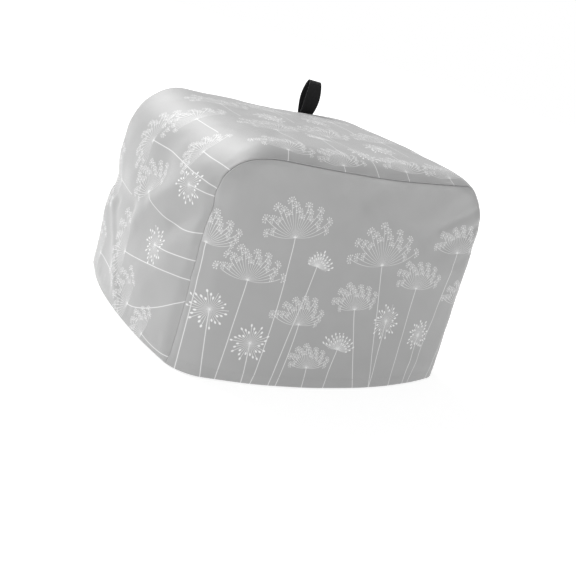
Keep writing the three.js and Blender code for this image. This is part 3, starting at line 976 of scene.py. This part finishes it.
def printed(finish):
    """How much white ink there is: heads with their rays and florets, and the stems"""
    ink = printed_rays(finish)
    for name in ("floret_a", "floret_b"):
        ink = ink.maths("MAXIMUM", printed_floret(finish, name) * INK["floret"])
    for name in ("stem_a", "stem_b"):
        off, along, length = finish.parts(name)
        on_it = along.maths("GREATER_THAN", 0) * (length - along).maths("GREATER_THAN", 0)
        ink = ink.maths("MAXIMUM", band_of(off, STEM_WIDTH, STEM_FEATHER) * on_it * INK["stem"])
    return ink


def weave(finish, pitch):
    """Fine plain weave on the flat cut: threads over and under each other"""
    along, across, _ = finish.parts("cut")
    turn = 2 * pi / pitch
    return (along * turn).maths("SINE") * (across * turn).maths("SINE")


def cloth_finish(name, base, ink_level, ink_strength):
    material = bpy.data.materials.new(name)
    finish = Finish(material, Sheen_Weight=0.25, Sheen_Roughness=0.4, Specular_IOR_Level=0.4)
    ink = printed(finish) * ink_strength
    cloudy = finish.clouds(finish.attribute("cut"), CLOUDS["scale"], CLOUDS["detail"])
    tone = base * (1 - CLOUDS["strength"] / 2 + CLOUDS["strength"] * cloudy)
    level = tone + (ink_level - tone) * ink
    finish.feed("Base Color", finish.colour(level, level, level))
    rough = CLOTH_ROUGHNESS
    finish.feed("Roughness", rough["bare"] + rough["ink"] * ink + rough["clouds"] * cloudy)
    finish.feed("Normal", finish.bump(weave(finish, WEAVE["pitch"]), WEAVE["strength"], WEAVE["depth"]))
    return finish.owner


def ribbon_finish():
    black = bpy.data.materials.new("black_ribbon")
    finish = Finish(black, Sheen_Weight=0.06, Sheen_Roughness=0.4, Specular_IOR_Level=0.25)
    along, _, _ = finish.parts("cut")
    ribs = (along * (2 * pi / RIBS["pitch"])).maths("SINE")
    fibre = finish.clouds(finish.attribute("cut"), RIBBON_FIBRE["scale"], RIBBON_FIBRE["detail"])
    tone = RIBBON_TONE["base"] + RIBBON_TONE["fibre"] * fibre + RIBBON_TONE["ribs"] * ribs
    finish.feed("Base Color", finish.colour(tone, tone, tone * RIBBON_TONE["blue"]))
    finish.feed("Roughness", RIBBON_ROUGHNESS["base"] + RIBBON_ROUGHNESS["fibre"] * fibre)
    finish.feed("Normal", finish.bump(ribs, RIBS["strength"], RIBS["depth"]))
    return finish.owner


def thread_finish():
    finish = Finish(bpy.data.materials.new("grey_thread"), Sheen_Weight=0.3)
    place = finish.add("ShaderNodeTexCoord", output="Object")
    twist = finish.clouds(place, THREAD_TWIST["scale"], THREAD_TWIST["detail"])
    tone = THREAD_TONE["base"] + THREAD_TONE["twist"] * twist
    finish.feed("Base Color", finish.colour(tone, tone, tone))
    finish.feed("Roughness", THREAD_ROUGHNESS["base"] + THREAD_ROUGHNESS["twist"] * twist)
    return finish.owner


# Objects and stitches

STITCH = dict(pitch=3.1, length=2.3, width=0.4, height=0.34, lift=0.02)
STITCH_STEPS = dict(band=80, strip=12, panel=100)  # steps of the line that they follow
STITCH_MARGIN = 2  # from the seam to the first stitch
LEFT_STITCHES = STITCH_LINE / LEFT_RUN
RIGHT_STITCHES = 5 - STITCH_LINE / RIGHT_RUN


def object_from(name, mesh, materials):
    """Makes an object from a mesh in metres, with its materials"""
    data = bpy.data.meshes.new(name)
    mesh.to_mesh(data)
    mesh.free()
    for material in materials:
        data.materials.append(material)
    made = bpy.data.objects.new(name, data)
    bpy.context.collection.objects.link(made)
    return made


def finished(name, mesh, materials, thickness=0.0):
    """Makes a piece from its mesh in millimetres, and gives thin cloth its thickness"""
    bmesh.ops.scale(mesh, vec=(MM, MM, MM), verts=mesh.verts)
    for face in mesh.faces:
        face.smooth = True
    piece = object_from(name, mesh, materials)
    if thickness:
        solid = piece.modifiers.new("thickness", "SOLIDIFY")
        solid.thickness = thickness * MM
        solid.offset = -1
        solid.material_offset = len(materials) - 1
        solid.material_offset_rim = len(materials) - 1
    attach(piece, "root")
    return piece


def add_stitches(mesh, stitches, line):
    """Small stitches along a line of points on the finished cloth"""
    tree = BVHTree.FromBMesh(mesh)
    shape = Matrix.Diagonal((STITCH["length"] / 2, STITCH["width"] / 2, STITCH["height"] / 2, 1))
    gone = 0.0
    for here, ahead in zip(line, line[1:]):
        step = (ahead - here).length
        run = (ahead - here).normalized()
        while gone < step:
            spot, normal, _, _ = tree.find_nearest(here.lerp(ahead, gone / step))
            out = (normal - run * normal.dot(run)).normalized()
            turned = Matrix((run, out.cross(run), out)).transposed().to_4x4()
            place = Matrix.Translation(spot + out * STITCH["lift"]) @ turned @ shape
            bmesh.ops.create_uvsphere(stitches, u_segments=8, v_segments=5, radius=1, matrix=place)
            gone += STITCH["pitch"]
        gone -= step


def stitches_for(mesh, lines):
    stitches = bmesh.new()
    for line in lines:
        add_stitches(mesh, stitches, [hang(point) for point in line])
    return stitches


def band_hem(place):
    """The line of the stitching on the band, at one of its ends"""
    row = BandRow(place, 0.0)
    steps = STITCH_STEPS["band"]
    run = row.width - 2 * STITCH_MARGIN
    return [row.point(STITCH_MARGIN + run * i / steps) for i in range(steps + 1)]


def panel_hem(side, table):
    """The line of the stitching on a panel, from seam to seam"""
    steps, middle_steps = STITCH_STEPS["strip"], STITCH_STEPS["panel"]

    def beside_seam(place):
        row = PanelRow(table, side, place, 0.0)
        run = row.width - STITCH_MARGIN
        return [row.point(STITCH_MARGIN + run * i / steps) for i in range(steps + 1)]

    left, right = beside_seam(LEFT_STITCHES), beside_seam(RIGHT_STITCHES)
    between = [left[-1].lerp(right[-1], i / middle_steps) for i in range(1, middle_steps)]
    return left + between + right[::-1]


# The ribbon loop, in millimetres: where it stands, its height, how far its sides bow out, how far
# its ends lie apart, and the ribbon's length and thickness. Then its width and its turn in degrees
# on the way up, how finely it is divided, and how its foot settles on the cloth
LOOP = dict(x=50, place=2.7, rise=39, bow=9.1, ends=0.95, length=92, ribbon=0.6)
LOOP_TURN = pi * 0.96
LOOP_WIDTHS = [(0, 16), (0.5, 17.5), (1, 13.5)]
LOOP_TURNS = [(0, 0), (0.5, -10), (1, -16)]
LOOP_CELLS = dict(along=71, across=12)
LOOP_STEP = 0.001
LOOP_FOOT = dict(sink=0.8, fade=12)


def cloth_height(x, y):
    """How high the cloth of the top lies, on the rounded edge beside the back panel"""
    centre_z = height_of_top(x) - TOP_EDGE
    centre_y = depth_at(centre_z, 1) - TOP_EDGE
    over = clamp(y - centre_y, 0, TOP_EDGE)
    return hang(Vector((x, y, centre_z + sqrt(TOP_EDGE**2 - over**2)))).z


def loop_line(part):
    """The middle of the ribbon seen from its edge: its way out and its rise, from 0 to 1"""
    turn = (2 * part - 1) * LOOP_TURN
    out = LOOP["bow"] * sin(turn) * cos(turn / 2) + LOOP["ends"] * sin(turn / 2)
    return out, (cos(turn) - cos(LOOP_TURN)) / (1 - cos(LOOP_TURN))


def make_loop():
    """The ribbon loop: up, over and down again, open like an eye between its sides"""
    seam = radians(read_table(BACK_SEAM, LOOP["place"]))
    seam_y = HALF_DEPTH - TOP_EDGE + TOP_EDGE * sin(seam)
    foot = Vector((LOOP["x"], seam_y, cloth_height(LOOP["x"], seam_y) + SEAM_GAP))
    mesh = bmesh.new()
    cut_layer = mesh.verts.layers.float_vector.new("cut")
    made = bmesh.ops.create_grid(
        mesh, x_segments=LOOP_CELLS["across"], y_segments=LOOP_CELLS["along"], size=1
    )
    for vert in made["verts"]:
        part = (vert.co.y + 1) / 2
        out, rise = loop_line(part)
        before, after = loop_line(part - LOOP_STEP), loop_line(part + LOOP_STEP)
        run = Vector((after[0] - before[0], (after[1] - before[1]) * LOOP["rise"])).normalized()
        away = out - LOOP["ribbon"] / 2 * run.y
        up = rise * LOOP["rise"] + LOOP["ribbon"] / 2 * run.x
        turn = radians(read_table(LOOP_TURNS, rise))
        across = read_table(LOOP_WIDTHS, rise) * vert.co.x / 2
        x = foot.x + across * cos(turn) - away * sin(turn)
        y = foot.y + across * sin(turn) + away * cos(turn)
        settled = (cloth_height(x, y) - LOOP_FOOT["sink"] - foot.z) * (1 - rise) ** LOOP_FOOT["fade"]
        vert.co = Vector((x, y, foot.z + up + settled))
        vert[cut_layer] = Vector((part * LOOP["length"], across, 0))
    bmesh.ops.recalc_face_normals(mesh, faces=mesh.faces)
    top = max(mesh.faces, key=lambda face: face.calc_center_median().z)
    if top.normal.z < 0:
        bmesh.ops.reverse_faces(mesh, faces=mesh.faces)
    return mesh


# The cloth, its print and its stitches

band_mesh = make_band()
front_mesh = make_panel(-1, FRONT_SEAM)
back_mesh = make_panel(1, BACK_SEAM)
for mesh in (band_mesh, front_mesh, back_mesh):
    roughen(mesh)
print_heads(band_mesh, BAND_HEADS, 0)
print_heads(front_mesh, FRONT_HEADS, HEM_Z - STEM_START)
print_heads(back_mesh, BACK_HEADS, HEM_Z - STEM_START)
band_stitches = stitches_for(band_mesh, [band_hem(LEFT_STITCHES), band_hem(RIGHT_STITCHES)])
front_stitches = stitches_for(front_mesh, [panel_hem(-1, FRONT_SEAM)])
back_stitches = stitches_for(back_mesh, [panel_hem(1, BACK_SEAM)])

# The pieces

cloth = [cloth_finish("printed_cloth", **PRINTED_SIDE), cloth_finish("cloth_reverse", **REVERSE_SIDE)]
thread = [thread_finish()]
gusset = finished("gusset_cloth", band_mesh, cloth, CLOTH)
front = finished("front_cloth", front_mesh, cloth, CLOTH)
back = finished("back_cloth", back_mesh, cloth, CLOTH)
gusset_thread = finished("gusset_stitches", band_stitches, thread)
front_thread = finished("front_stitches", front_stitches, thread)
back_thread = finished("back_stitches", back_stitches, thread)
loop = finished("loop_ribbon", make_loop(), [ribbon_finish()], LOOP["ribbon"])

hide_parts("gusset")
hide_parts("front_panel")
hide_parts("back_panel")
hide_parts("loop")

# Floor, light and camera

# The floor's size and the places of the lights are in metres, the rest in millimetres and degrees
FLOOR_HALF = 9
FLOOR_GAP = 0.9  # from the hem down to the floor, so that no cloth dips into it
FLOOR_GLOW = 0.72
AMBIENT = 0.53
KEY_LIGHT = dict(place=(-0.22, 0.7, 0.68), angle=radians(32), energy=3.2)
FILL_LIGHT = dict(place=(-2.6, -3.3, 0.1), shape="DISK", size=3.0, energy=65)
CAMERA_TURNS = dict(azimuth=-36.85, elevation=18.2, roll=17.9)
CAMERA_PLACE = dict(distance=784, slide_x=-31.3, slide_y=-148.9, aim=(0, -4, 0))
LENS = dict(lens=50, sensor_width=36, clip_start=0.05, clip_end=30)


def make_floor():
    mesh = bmesh.new()
    bmesh.ops.create_grid(mesh, x_segments=1, y_segments=1, size=FLOOR_HALF)
    bmesh.ops.translate(mesh, vec=(0, 0, (HEM_Z - FLOOR_GAP) * MM), verts=mesh.verts)
    pale = Finish(
        bpy.data.materials.new("pale_floor"),
        Base_Color=grey(0.5),
        Roughness=0.9,
        Emission_Color=grey(1.0),
        Emission_Strength=FLOOR_GLOW,
    )
    object_from("floor", mesh, [pale.owner])


def make_studio():
    """An even white room, which lights the cover more weakly than it shows"""
    world = bpy.data.worlds.new("studio")
    bpy.context.scene.world = world
    studio = Finish(world, "Background", Color=grey(1.0))
    seen = studio.add("ShaderNodeLightPath", output="Is Camera Ray")
    studio.feed("Strength", AMBIENT + (1 - AMBIENT) * seen)


def add_light(name, kind, place, **settings):
    """A soft light that shines from its place towards the middle"""
    lamp = bpy.data.lights.new(name, kind)
    for key, value in settings.items():
        setattr(lamp, key, value)
    light = bpy.data.objects.new(name, lamp)
    light.location = place
    light.rotation_mode = "QUATERNION"
    light.rotation_quaternion = Vector(place).to_track_quat("Z", "Y")
    bpy.context.collection.objects.link(light)


def make_camera():
    azimuth, elevation, roll = [radians(turn) for turn in CAMERA_TURNS.values()]
    distance_back, slide_x, slide_y, aim = CAMERA_PLACE.values()
    back_way = Vector((sin(azimuth) * cos(elevation), -cos(azimuth) * cos(elevation), sin(elevation)))
    level = (-back_way).cross(Vector((0, 0, 1))).normalized()
    upright = level.cross(-back_way)
    right = cos(roll) * level + sin(roll) * upright
    up = -sin(roll) * level + cos(roll) * upright
    place = Vector(aim) + back_way * distance_back + right * slide_x + up * slide_y
    data = bpy.data.cameras.new("camera")
    for key, value in LENS.items():
        setattr(data, key, value)
    camera = bpy.data.objects.new("camera", data)
    camera.matrix_world = Matrix.Translation(place * MM) @ Matrix((right, up, back_way)).transposed().to_4x4()
    bpy.context.collection.objects.link(camera)
    bpy.context.scene.camera = camera


make_floor()
make_studio()
add_light("key", "SUN", **KEY_LIGHT)
add_light("fill", "AREA", **FILL_LIGHT)
make_camera()
bpy.context.scene.view_settings.view_transform = "Standard"
